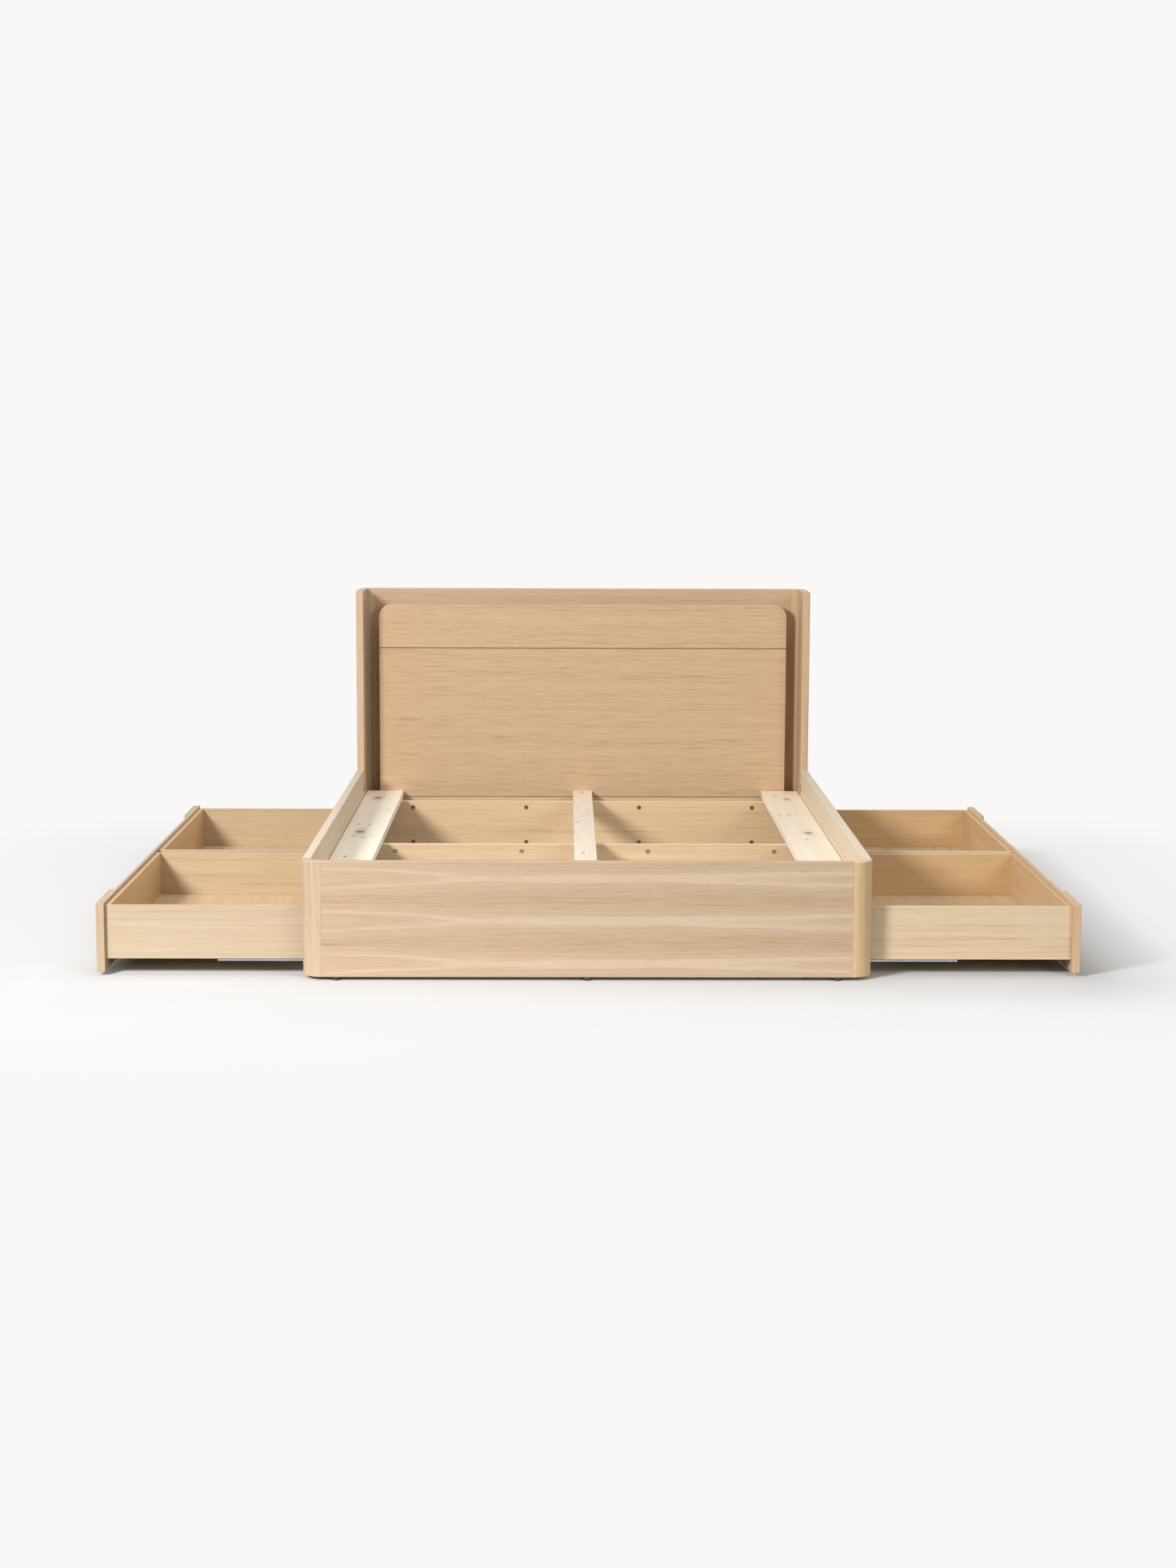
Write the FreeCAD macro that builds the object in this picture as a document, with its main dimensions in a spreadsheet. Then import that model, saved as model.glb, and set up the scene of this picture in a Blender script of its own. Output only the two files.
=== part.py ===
import FreeCAD, Part
import os
import types

import Sketcher

# Storage bed for a 150 x 200 cm mattress, with two drawers pulled out on each side.
# +X is the bed's right, +Y runs from the foot to the headboard, +Z is up.
# The origin is on the floor under the middle of the mid cross panel.

# Driving dimensions in millimetres
SIZES = {
    # frame
    "bed_width": 1560,
    "rail_length": 1863,
    "rail_height": 124,
    "frame_top": 330,
    "panel_thickness": 25,
    "corner_radius": 55,
    "edge_easing": 2,
    "glide_height": 10,
    "glide_radius": 10.5,
    "glide_end_inset": 40,
    "cross_glide_end_inset": 140,
    # headboard
    "headboard_top": 947,
    "wing_depth": 136,
    "wing_top_radius": 6,
    "face_board_thickness": 22,
    "face_board_side_gap": 15,
    "face_board_top_drop": 52,
    "face_board_corner_radius": 45,
    "upper_board_height": 151.5,
    "face_board_joint": 3,
    "batten_thickness": 36,
    "batten_width": 60,
    "batten_end_inset": 40,
    "batten_top_inset": 40,
    "ledger_height": 65,
    "ledger_gap": 1,
    # mattress support
    "slat_board_drop": 88,
    "slat_board_width": 126.5,
    "slat_board_thickness": 22,
    "slat_board_gap": 1.5,
    "beam_width": 66,
    # cross panels and their bolts
    "cross_panel_thickness": 25,
    "cross_panel_end_gap": 15,
    "bay_end_inset": 10,
    "bolt_end_inset": 153,
    "bolt_inner_offset": 195.5,
    "bolt_top_drop": 20,
    "bolt_row_spacing": 121,
    "bolt_head_radius": 7,
    "bolt_head_height": 2.5,
    "bolt_shank_radius": 3.5,
    "bolt_play": 0.3,
    # drawers
    "pull_left": 567,
    "pull_right": 579,
    "reveal": 3,
    "front_thickness": 22,
    "front_floor_gap": 11,
    "finger_pull_depth": 13,
    "finger_pull_height": 25,
    "finger_pull_end": 217,
    "box_depth": 600,
    "box_board": 15,
    "box_top_drop": 8,
    "box_bottom_rise": 35,
    "box_clearance": 6,
    "bottom_thickness": 8,
    "bottom_rise": 12,
    "groove_depth": 6,
    # runners and locking clips
    "runner_end_gap": 8,
    "runner_setback": 44,
    "runner_width": 20,
    "runner_wall": 1.5,
    "runner_lip": 5.5,
    "runner_flange": 5,
    "runner_play": 0.4,
    "runner_rise": 6.4,
    "runner_side_gap": 2,
    "bracket_height": 26,
    "clip_length": 40,
    "clip_width": 22,
    "clip_height": 20,
    "clip_lever_height": 8,
    "clip_gap": 1,
    # cutting tools run past the faces that they cut, and edges are picked to within the tolerance
    "overrun": 5,
    "pick_tolerance": 0.01,
}

LEFT, RIGHT = -1, 1
FOOT, HEAD = -1, 1
SIDE_NAMES = {LEFT: "left", RIGHT: "right"}
BAY_NAMES = {FOOT: "foot", HEAD: "head"}


class Size:
    """A length in millimetres together with the sheet formula that drives it."""

    def __init__(self, value, formula):
        self.value = value
        self.formula = formula

    def __add__(self, other):
        return Size(self.value + value_of(other), f"({self.formula} + {formula_of(other)})")

    def __sub__(self, other):
        return Size(self.value - value_of(other), f"({self.formula} - {formula_of(other)})")

    def __mul__(self, factor):
        return Size(self.value * factor, f"({self.formula} * {factor})")

    def __truediv__(self, divisor):
        return Size(self.value / divisor, f"({self.formula} / {divisor})")

    def __neg__(self):
        return self * -1

    __radd__ = __add__
    __rmul__ = __mul__


def value_of(size):
    return size.value if isinstance(size, Size) else size


def formula_of(size):
    return size.formula if isinstance(size, Size) else str(size)


def bind(piece, name, size):
    """Drive one property of a document object by a size's formula."""
    piece.setExpression(name, formula_of(size))


doc = FreeCAD.newDocument("StorageBed")
sheet = doc.addObject("Spreadsheet::Sheet", "Sizes")
for row, (alias, length) in enumerate(SIZES.items(), start=1):
    sheet.set(f"A{row}", alias)
    sheet.set(f"B{row}", str(length))
    sheet.setAlias(f"B{row}", alias)
doc.recompute()
d = types.SimpleNamespace(**{name: Size(length, f"Sizes.{name}") for name, length in SIZES.items()})

nodes = []


def node(piece):
    """Mark a document object as a sub-part that gets a file of its own."""
    nodes.append(piece)
    return piece


def board(label, x, y, z):
    """A plain board between a low and a high limit on each axis."""
    piece = doc.addObject("Part::Box", label)
    for (low, high), extent, axis in zip((x, y, z), ("Length", "Width", "Height"), "xyz"):
        bind(piece, extent, high - low)
        bind(piece, f"Placement.Base.{axis}", low)
    return piece


def span(sign, inner, outer):
    """Limits on one side of the middle, as low and high, from distances to the middle."""
    return (inner, outer) if sign > 0 else (-outer, -inner)


def rod(label, radius, length, turn, x, y, z):
    """A round rod along the turned Z axis, from a point."""
    piece = doc.addObject("Part::Cylinder", label)
    piece.Placement = FreeCAD.Placement(FreeCAD.Vector(), turn)
    bind(piece, "Radius", radius)
    bind(piece, "Height", length)
    for axis, place in zip("xyz", (x, y, z)):
        bind(piece, f"Placement.Base.{axis}", place)
    return piece


def cut(label, base, tool):
    piece = doc.addObject("Part::Cut", label)
    piece.Base = base
    piece.Tool = tool
    return piece


def group(label, pieces):
    """Separate solids that share one node."""
    piece = doc.addObject("Part::Compound", label)
    piece.Links = pieces
    return piece


def section(label, outline):
    """A body with one closed outline, whose corners are given across the section and up from the floor."""
    body = doc.addObject("PartDesign::Body", label)
    sketch = body.newObject("Sketcher::SketchObject", f"{label}_section")
    plane = next(feature for feature in body.Origin.OriginFeatures if feature.Role == "YZ_Plane")
    sketch.AttachmentSupport = (plane, [""])
    sketch.MapMode = "FlatFace"
    corners = [FreeCAD.Vector(value_of(across), value_of(up), 0) for across, up in outline]
    for start, end in zip(corners, corners[1:] + corners[:1]):
        sketch.addGeometry(Part.LineSegment(start, end))
    for corner, (across, up) in enumerate(outline):
        line_before = (corner - 1) % len(outline)
        sketch.addConstraint(Sketcher.Constraint("Coincident", line_before, 2, corner, 1))
        for kind, axis, place in (("DistanceX", -2, across), ("DistanceY", -1, up)):
            if not isinstance(place, Size):
                sketch.addConstraint(Sketcher.Constraint("PointOnObject", corner, 1, axis))
                continue
            index = sketch.addConstraint(Sketcher.Constraint(kind, -1, 1, corner, 1, place.value))
            bind(sketch, f"Constraints[{index}]", place)
    return body, sketch


def place(body, turn, x, y):
    body.Placement = FreeCAD.Placement(FreeCAD.Vector(), turn)
    bind(body, "Placement.Base.x", x)
    bind(body, "Placement.Base.y", y)
    return body


def extrusion(label, outline, length, turn, x, y):
    """A straight run of one section."""
    body, sketch = section(label, outline)
    pad = body.newObject("PartDesign::Pad", f"{label}_pad")
    pad.Profile = sketch
    bind(pad, "Length", length)
    return place(body, turn, x, y)


def quarter_turn(label, outline, turn, x, y):
    """One section swung through a quarter circle about the upright axis that it is measured from."""
    body, sketch = section(label, outline)
    swing = body.newObject("PartDesign::Revolution", f"{label}_swing")
    swing.Profile = sketch
    swing.ReferenceAxis = (sketch, ["V_Axis"])
    swing.Angle = 90
    return place(body, turn, x, y)


def picked_edges(body, wanted):
    """The edges of a body, as it stands, that the test picks."""
    doc.recompute()
    edges = enumerate(body.Tip.Shape.Edges, start=1)
    return body.Tip, [f"Edge{number}" for number, edge in edges if wanted(edge)]


def round_edges(body, radius, wanted):
    picked = picked_edges(body, wanted)
    fillet = body.newObject("PartDesign::Fillet", f"{body.Label}_round")
    fillet.Base = picked
    bind(fillet, "Radius", radius)


def ease_edges(body, wanted):
    """Take the sharpness off edges that hands touch."""
    picked = picked_edges(body, wanted)
    chamfer = body.newObject("PartDesign::Chamfer", f"{body.Label}_easing")
    chamfer.Base = picked
    bind(chamfer, "Size", d.edge_easing)


def lies_at(edge, axis, size):
    """Whether both ends of an edge have one coordinate at a size."""
    distances = [abs(getattr(vertex, axis) - value_of(size)) for vertex in edge.Vertexes]
    return max(distances) < d.pick_tolerance.value


def runs_along(edge, axis):
    """Whether the ends of an edge differ in one coordinate."""
    first, last = (getattr(vertex, axis) for vertex in (edge.Vertexes[0], edge.Vertexes[-1]))
    return abs(first - last) > d.pick_tolerance.value


def about_z(degrees):
    return FreeCAD.Rotation(FreeCAD.Vector(0, 0, 1), degrees)


UPRIGHT = about_z(0)
ROD_ALONG_Y = FreeCAD.Rotation(FreeCAD.Vector(1, 0, 0), -90)


# Faces and levels that several pieces share
half_width = d.bed_width / 2
rail_inner_face = half_width - d.panel_thickness
rail_bottom = d.frame_top - d.rail_height
rail_end = d.rail_length / 2
foot_face = -rail_end - d.corner_radius
foot_inner_face = foot_face + d.panel_thickness
wing_back = rail_end + d.wing_depth
headboard_back = wing_back + d.corner_radius
back_panel_face = headboard_back - d.panel_thickness
face_board_back = back_panel_face - d.batten_thickness
face_board_front = face_board_back - d.face_board_thickness
slat_top = d.frame_top - d.slat_board_drop
slat_bottom = slat_top - d.slat_board_thickness
post_center = half_width - d.corner_radius
body_height = (d.glide_height, d.frame_top)
headboard_height = (d.glide_height, d.headboard_top)


def panel_outline(start, height):
    """The upright section of a panel or post, from the face nearest the axis that it is measured from."""
    low, high = height
    end = start + d.panel_thickness
    return [(start, low), (end, low), (end, high), (start, high)]


def panel(label, height, length, turn, x, y):
    """A straight panel with eased top edges."""
    piece = extrusion(label, panel_outline(0, height), length, turn, x, y)
    top = height[1]
    ease_edges(piece, lambda edge: lies_at(edge, "Z", top) and runs_along(edge, "X"))
    return piece


def corner_post(label, side, end, center_y, height):
    """A quarter-round post that carries the panels' section, eased top edges too, round a corner."""
    start_angles = {(LEFT, HEAD): 0, (LEFT, FOOT): 90, (RIGHT, FOOT): 180, (RIGHT, HEAD): 270}
    outline = panel_outline(d.corner_radius - d.panel_thickness, height)
    piece = quarter_turn(label, outline, about_z(start_angles[side, end]), post_center * side, center_y)

    def is_top_arc(edge):
        return lies_at(edge, "Z", height[1]) and edge.Curve.TypeId == "Part::GeomCircle"

    ease_edges(piece, is_top_arc)
    return piece


def wing(label, x):
    """A headboard wing, with its top front corner rounded off and its free edges eased on both faces."""
    low, high = headboard_height
    outline = [(0, low), (d.wing_depth, low), (d.wing_depth, high), (0, high)]
    piece = extrusion(label, outline, d.panel_thickness, about_z(0), x, rail_end)
    round_edges(piece, d.wing_top_radius, lambda edge: lies_at(edge, "Y", 0) and lies_at(edge, "Z", high))

    def is_free(edge):
        at_joint = lies_at(edge, "Y", d.wing_depth) or lies_at(edge, "Z", low)
        return not at_joint and not runs_along(edge, "X")

    ease_edges(piece, is_free)
    return piece


# Foot panel, between the corner posts
panel_length = post_center * 2
node(panel("foot_panel", body_height, panel_length, about_z(0), -post_center, foot_face))


# Side rails with the posts and wings that they run between
for side, name in SIDE_NAMES.items():
    node(corner_post(f"foot_post_{name}", side, FOOT, -rail_end, body_height))
    rail_x = span(side, rail_inner_face, half_width)[0]
    rail_z = (rail_bottom, d.frame_top)
    node(panel(f"side_rail_{name}", rail_z, d.rail_length, about_z(-90), rail_x, rail_end))
    node(wing(f"headboard_wing_{name}", rail_x))
    node(corner_post(f"headboard_post_{name}", side, HEAD, wing_back, headboard_height))


# Headboard: back panel, two face boards with an open joint between them, and the ledger and battens behind
node(panel("headboard_back_panel", headboard_height, panel_length, about_z(0), -post_center, back_panel_face))
face_top = d.headboard_top - d.face_board_top_drop
upper_bottom = face_top - d.upper_board_height
half_face = post_center - d.face_board_side_gap
face_width = half_face * 2


def face_board(label, low, high):
    """A board in front of the back panel, laid flat on the battens."""
    outline = [(0, low), (face_width, low), (face_width, high), (0, high)]
    return extrusion(label, outline, d.face_board_thickness, about_z(-90), -half_face, face_board_back)


def on_face(edge):
    return lies_at(edge, "X", d.face_board_thickness)


upper = face_board("headboard_upper_board", upper_bottom, face_top)
round_edges(
    upper, d.face_board_corner_radius, lambda edge: lies_at(edge, "Z", face_top) and runs_along(edge, "X")
)
ease_edges(upper, on_face)
node(upper)
lower = face_board("headboard_lower_board", slat_bottom, upper_bottom - d.face_board_joint)
ease_edges(lower, on_face)
node(lower)
ledger_top = slat_bottom - d.ledger_gap
ledger_z = (ledger_top - d.ledger_height, ledger_top)
ledger_y = (face_board_front, back_panel_face)
ledger_pieces = [board("ledger_board", (-half_face, half_face), ledger_y, ledger_z)]
batten_y = (face_board_back, back_panel_face)
batten_z = (ledger_top, face_top - d.batten_top_inset)
batten_offset = half_face - d.batten_end_inset - d.batten_width / 2
for position, step in (("left", LEFT), ("middle", 0), ("right", RIGHT)):
    batten_x = (batten_offset * step - d.batten_width / 2, batten_offset * step + d.batten_width / 2)
    ledger_pieces.append(board(f"batten_{position}", batten_x, batten_y, batten_z))
node(group("headboard_ledger", ledger_pieces))


# Slat support boards beside the rails and the beam down the middle
slat_outer = rail_inner_face - d.slat_board_gap
for side, name in SIDE_NAMES.items():
    slat_x = span(side, slat_outer - d.slat_board_width, slat_outer)
    node(board(f"slat_board_{name}", slat_x, (-rail_end, face_board_front), (slat_bottom, slat_top)))
half_beam = d.beam_width / 2
beam_y = (foot_inner_face, face_board_front)
node(board("centre_beam", (-half_beam, half_beam), beam_y, (slat_bottom, slat_top)))


# Cross panels that carry the runners. The two in view have two rows of four bolts, put in from the foot side.
half_cross = d.cross_panel_thickness / 2
bay_start = half_cross
bay_end = rail_end - d.bay_end_inset
cross_half_length = rail_inner_face - d.cross_panel_end_gap
cross_fronts = {
    "foot": -bay_end - d.cross_panel_thickness,
    "mid": -half_cross,
    "head": bay_end,
}
top_row = slat_bottom - d.bolt_top_drop
bolt_places = [
    (offset * side, height)
    for height in (top_row, top_row - d.bolt_row_spacing)
    for offset in (cross_half_length - d.bolt_end_inset, d.bolt_inner_offset)
    for side in (LEFT, RIGHT)
]


def cross_panel_blank(label, front):
    cross_y = (front, front + d.cross_panel_thickness)
    return board(label, (-cross_half_length, cross_half_length), cross_y, (d.glide_height, slat_bottom))


def bolted_panel(name):
    """A cross panel bored for its bolts, and the bolts, whose heads sit on its face."""
    front = cross_fronts[name]
    hole_radius = d.bolt_shank_radius + d.bolt_play
    hole_length = d.cross_panel_thickness + d.overrun * 2
    head_start = front - d.bolt_head_height
    shank_length = d.bolt_head_height + d.cross_panel_thickness
    holes = []
    bolts = []
    for number, (x, z) in enumerate(bolt_places, start=1):
        tag = f"{name}_bolt_{number}"
        holes.append(rod(f"{tag}_hole", hole_radius, hole_length, ROD_ALONG_Y, x, front - d.overrun, z))
        bolt = doc.addObject("Part::Fuse", tag)
        bolt.Base = rod(f"{tag}_head", d.bolt_head_radius, d.bolt_head_height, ROD_ALONG_Y, x, head_start, z)
        bolt.Tool = rod(f"{tag}_shank", d.bolt_shank_radius, shank_length, ROD_ALONG_Y, x, head_start, z)
        bolts.append(bolt)
    blank = cross_panel_blank(f"{name}_cross_blank", front)
    return cut(f"{name}_cross_panel", blank, group(f"{name}_cross_holes", holes)), bolts


node(cross_panel_blank("foot_cross_panel", cross_fronts["foot"]))
mid_panel, mid_bolts = bolted_panel("mid")
node(mid_panel)
node(group("steel_bolts", mid_bolts))
head_panel, head_bolts = bolted_panel("head")
node(head_panel)
node(group("bronze_bolts", head_bolts))


# Floor glides under the end panels and the cross panels
panel_glide_offset = post_center - d.glide_end_inset
glide_rows = {
    "foot_panel": (foot_face + d.panel_thickness / 2, panel_glide_offset),
    "headboard": (headboard_back - d.panel_thickness / 2, panel_glide_offset),
}
for name, front in cross_fronts.items():
    glide_rows[f"{name}_cross"] = (front + half_cross, cross_half_length - d.cross_glide_end_inset)
glides = [
    rod(f"{name}_glide_{place}", d.glide_radius, d.glide_height, UPRIGHT, offset * step, y, 0)
    for name, (y, offset) in glide_rows.items()
    for place, step in (("left", LEFT), ("middle", 0), ("right", RIGHT))
]
node(group("floor_glides", glides))


# Drawer levels
front_top = rail_bottom - d.reveal
box_top = front_top - d.box_top_drop
box_bottom = d.front_floor_gap + d.box_bottom_rise
bottom_under = box_bottom + d.bottom_rise
runner_length = d.box_depth + d.front_thickness - d.runner_setback - d.runner_end_gap

# Runner sections, across from the cross panel's face and up from the floor
channel_height = d.runner_wall * 2 + d.runner_play * 2 + d.runner_flange
channel_near = d.box_clearance + d.box_board + d.runner_side_gap
channel_far = channel_near + d.runner_width
upper_channel_bottom = bottom_under - channel_height
lower_channel_top = upper_channel_bottom - d.runner_rise
lower_channel_bottom = lower_channel_top - channel_height
lip_near = channel_near + d.runner_lip
lip_far = channel_far - d.runner_lip

drawer_channel = [
    (channel_near, upper_channel_bottom),
    (lip_near, upper_channel_bottom),
    (lip_near, upper_channel_bottom + d.runner_wall),
    (channel_near + d.runner_wall, upper_channel_bottom + d.runner_wall),
    (channel_near + d.runner_wall, bottom_under - d.runner_wall),
    (channel_far - d.runner_wall, bottom_under - d.runner_wall),
    (channel_far - d.runner_wall, upper_channel_bottom + d.runner_wall),
    (lip_far, upper_channel_bottom + d.runner_wall),
    (lip_far, upper_channel_bottom),
    (channel_far, upper_channel_bottom),
    (channel_far, bottom_under),
    (channel_near, bottom_under),
]

flange_inset = d.runner_wall + d.runner_play
beam_low = lower_channel_bottom + flange_inset
beam_high = bottom_under - flange_inset
runner_beam = [
    (channel_near + flange_inset, beam_low),
    (channel_far - flange_inset, beam_low),
    (channel_far - flange_inset, beam_low + d.runner_flange),
    (lip_far - d.runner_play, beam_low + d.runner_flange),
    (lip_far - d.runner_play, beam_high - d.runner_flange),
    (channel_far - flange_inset, beam_high - d.runner_flange),
    (channel_far - flange_inset, beam_high),
    (channel_near + flange_inset, beam_high),
    (channel_near + flange_inset, beam_high - d.runner_flange),
    (lip_near + d.runner_play, beam_high - d.runner_flange),
    (lip_near + d.runner_play, beam_low + d.runner_flange),
    (channel_near + flange_inset, beam_low + d.runner_flange),
]

bracket_top = lower_channel_bottom + d.bracket_height
floor_plate_top = lower_channel_bottom + d.runner_wall
cabinet_channel = [
    (0, lower_channel_bottom),
    (channel_far, lower_channel_bottom),
    (channel_far, lower_channel_top),
    (lip_far, lower_channel_top),
    (lip_far, lower_channel_top - d.runner_wall),
    (channel_far - d.runner_wall, lower_channel_top - d.runner_wall),
    (channel_far - d.runner_wall, floor_plate_top),
    (channel_near + d.runner_wall, floor_plate_top),
    (channel_near + d.runner_wall, lower_channel_top - d.runner_wall),
    (lip_near, lower_channel_top - d.runner_wall),
    (lip_near, lower_channel_top),
    (channel_near, lower_channel_top),
    (channel_near, floor_plate_top),
    (d.runner_wall, floor_plate_top),
    (d.runner_wall, bracket_top),
    (0, bracket_top),
]

# Locking clip section, inward from the inner front and up from the floor, with its thumb lever hanging below
clip_bottom = bottom_under - d.clip_height
lever_top = clip_bottom + d.clip_lever_height
clip_outline = [
    (0, clip_bottom),
    (d.clip_length / 2, clip_bottom),
    (d.clip_length, lever_top),
    (d.clip_length, bottom_under),
    (0, bottom_under),
]


def runner_pair(label, outline, side, bay, shift):
    """The same runner member at both ends of a bay, slid outwards from its closed place."""
    center = half_width - d.runner_setback - runner_length / 2 + shift
    ends = []
    for place, face, inward in (("mid", bay_start, bay), ("end", bay_end, -bay)):
        turn = about_z(0 if inward > 0 else 180)
        x = center * side - runner_length / 2 * inward
        ends.append(extrusion(f"{label}_{place}", outline, runner_length, turn, x, face * bay))
    return ends


def drawer(side, bay):
    """One drawer, pulled out as far as its side is, with the runner members that move with it."""
    name = f"drawer_{BAY_NAMES[bay]}_{SIDE_NAMES[side]}"
    pull = d.pull_left if side == LEFT else d.pull_right
    outer_face = half_width + pull
    box_front = outer_face - d.front_thickness
    box_back = box_front - d.box_depth
    front_end = rail_end - d.reveal

    front_y = span(bay, d.reveal / 2, front_end)
    blank = board(
        f"{name}_front_blank", span(side, box_front, outer_face), front_y, (d.front_floor_gap, front_top)
    )
    pull_x = span(side, outer_face - d.finger_pull_depth, outer_face + d.overrun)
    pull_y = span(bay, -d.overrun, front_end - d.finger_pull_end)
    pull_z = (front_top - d.finger_pull_height, front_top + d.overrun)
    node(cut(f"{name}_front", blank, board(f"{name}_finger_pull", pull_x, pull_y, pull_z)))

    box_near = bay_start + d.box_clearance
    box_far = bay_end - d.box_clearance
    inner_near = box_near + d.box_board
    inner_far = box_far - d.box_board
    box_z = (box_bottom, box_top)
    bottom = board(
        f"{name}_bottom",
        span(side, box_back + d.box_board - d.groove_depth, box_front - d.box_board + d.groove_depth),
        span(bay, inner_near - d.groove_depth, inner_far + d.groove_depth),
        (bottom_under, bottom_under + d.bottom_thickness),
    )
    node(bottom)
    between_sides = span(bay, inner_near, inner_far)
    inner_front = board(
        f"{name}_inner_front_blank", span(side, box_front - d.box_board, box_front), between_sides, box_z
    )
    node(cut(f"{name}_inner_front", inner_front, bottom))
    back_z = (bottom_under, box_top)
    back = board(f"{name}_back_blank", span(side, box_back, box_back + d.box_board), between_sides, back_z)
    node(cut(f"{name}_back", back, bottom))
    sides = [
        board(f"{name}_side_blank_{end}", span(side, box_back, box_front), span(bay, *limits), box_z)
        for end, limits in (("mid", (box_near, inner_near)), ("end", (inner_far, box_far)))
    ]
    grooved = [cut(f"{blank_side.Label}_grooved", blank_side, bottom) for blank_side in sides]
    node(group(f"{name}_sides", grooved))

    channels = runner_pair(f"{name}_runner", drawer_channel, side, bay, pull)
    node(group(f"{name}_runners", channels))
    beams = runner_pair(f"{name}_middle_runner", runner_beam, side, bay, pull / 2)
    node(group(f"{name}_middle_runners", beams))

    clip_x = (box_front - d.box_board) * side
    clip_across = channel_far + d.clip_gap
    clips = []
    for end, low in (("mid", bay_start + clip_across), ("end", bay_end - clip_across - d.clip_width)):
        clip_low, clip_high = span(bay, low, low + d.clip_width)
        start = clip_low if side == RIGHT else clip_high
        clips.append(
            extrusion(f"{name}_clip_{end}", clip_outline, d.clip_width, about_z(90 * side), clip_x, start)
        )
    node(group(f"{name}_clips", clips))


fixed_runners = []
for bay in (FOOT, HEAD):
    for side in (LEFT, RIGHT):
        drawer(side, bay)
        label = f"fixed_runner_{BAY_NAMES[bay]}_{SIDE_NAMES[side]}"
        fixed_runners += runner_pair(label, cabinet_channel, side, bay, 0)
node(group("fixed_runners", fixed_runners))


doc.recompute()
for item in doc.Objects:
    if "Invalid" in item.State or "Error" in item.State:
        raise RuntimeError(f"{item.Label} did not build: {item.State}")
for piece in nodes:
    if piece.Shape.isNull() or not piece.Shape.isValid():
        raise RuntimeError(f"{piece.Label} has no valid shape")

os.makedirs("parts", exist_ok=True)
for piece in nodes:
    piece.Shape.exportStep(f"parts/{piece.Label}.step")
print(f"{len(nodes)} sub-parts written")
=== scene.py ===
import math

import bmesh
import bpy
from mathutils import Matrix, Vector


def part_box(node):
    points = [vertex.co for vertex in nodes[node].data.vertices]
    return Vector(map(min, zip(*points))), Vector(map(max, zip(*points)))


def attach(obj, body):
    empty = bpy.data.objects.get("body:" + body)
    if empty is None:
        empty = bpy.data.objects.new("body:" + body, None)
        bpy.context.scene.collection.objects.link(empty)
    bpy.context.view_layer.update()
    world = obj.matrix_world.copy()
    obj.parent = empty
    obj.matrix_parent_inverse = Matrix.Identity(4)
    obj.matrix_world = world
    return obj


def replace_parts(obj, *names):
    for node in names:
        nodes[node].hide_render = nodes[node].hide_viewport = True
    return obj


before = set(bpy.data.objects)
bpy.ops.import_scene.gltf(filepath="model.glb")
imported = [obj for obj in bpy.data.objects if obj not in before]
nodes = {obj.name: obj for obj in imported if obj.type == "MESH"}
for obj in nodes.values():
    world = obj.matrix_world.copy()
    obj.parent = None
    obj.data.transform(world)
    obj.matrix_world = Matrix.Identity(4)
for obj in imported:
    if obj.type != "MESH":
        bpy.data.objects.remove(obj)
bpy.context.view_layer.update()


# ---------------------------------------------------------------------------------------------
# Foot panel: a low board across the foot of the bed, 25 mm thick, between the two round posts.
# Oak veneer laid in equal leaves one above the other, its edges eased by hand and left matt.
# The leaves come from one flat-cut log, so each shows the same pale tongue of grain.

def colour(code):
    """A written colour, such as DFC4A0, as the linear values that a shader takes."""
    parts = [int(code[i:i + 2], 16) / 255 for i in (0, 2, 4)]
    return [*(p / 12.92 if p <= 0.04045 else ((p + 0.055) / 1.055) ** 2.4 for p in parts), 1.0]


class Finish:
    """A material made of nodes. Each call adds one node and gives back what comes out of it."""

    def __init__(self, name):
        self.material = bpy.data.materials.new(name)
        self.material.use_nodes = True
        self.tree = self.material.node_tree
        self.shader = self.tree.nodes["Principled BSDF"]

    def join(self, value, socket):
        if isinstance(value, bpy.types.NodeSocket):
            self.tree.links.new(value, socket)
        else:
            socket.default_value = value

    def add(self, kind, *values, out=0, **settings):
        made = self.tree.nodes.new("ShaderNode" + kind)
        for setting, value in settings.items():
            setattr(made, setting, value)
        for socket, value in zip(made.inputs, values):
            if value is not None:
                self.join(value, socket)
        return made.outputs[out]

    def math(self, operation, *values):
        return self.add("Math", *values, operation=operation)

    def step(self, value, low, high, first=0.0, last=1.0):
        """A soft step: first below low, last above high, and smooth between them."""
        return self.add("MapRange", value, low, high, first, last, interpolation_type="SMOOTHSTEP")

    def noise(self, place, stretch, detail=2.0, share=0.5):
        """Noise from 0 to 1 with that many changes a metre along each way of the wood."""
        scaled = self.add("VectorMath", place, stretch, operation="MULTIPLY")
        return self.add("TexNoise", scaled, None, 1.0, detail, share)

    def mix(self, share, first, second, way="MIX"):
        made = self.tree.nodes.new("ShaderNodeMix")
        made.data_type, made.blend_type = "RGBA", way
        self.join(share, made.inputs["Factor"])
        self.join(first, made.inputs[6])
        self.join(second, made.inputs[7])
        return made.outputs[2]

    def surface(self, tint, roughness, height, depth, **plain):
        """Joins colour, roughness and relief to the shader, and sets what is the same all over."""
        self.join(tint, self.shader.inputs["Base Color"])
        self.join(roughness, self.shader.inputs["Roughness"])
        relief = self.tree.nodes.new("ShaderNodeBump")
        relief.inputs["Distance"].default_value = depth
        relief.inputs["Strength"].default_value = 1.0
        self.join(height, relief.inputs["Height"])
        self.join(relief.outputs[0], self.shader.inputs["Normal"])
        for socket, value in plain.items():
            self.shader.inputs[socket.replace("_", " ")].default_value = value
        return self.material


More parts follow.
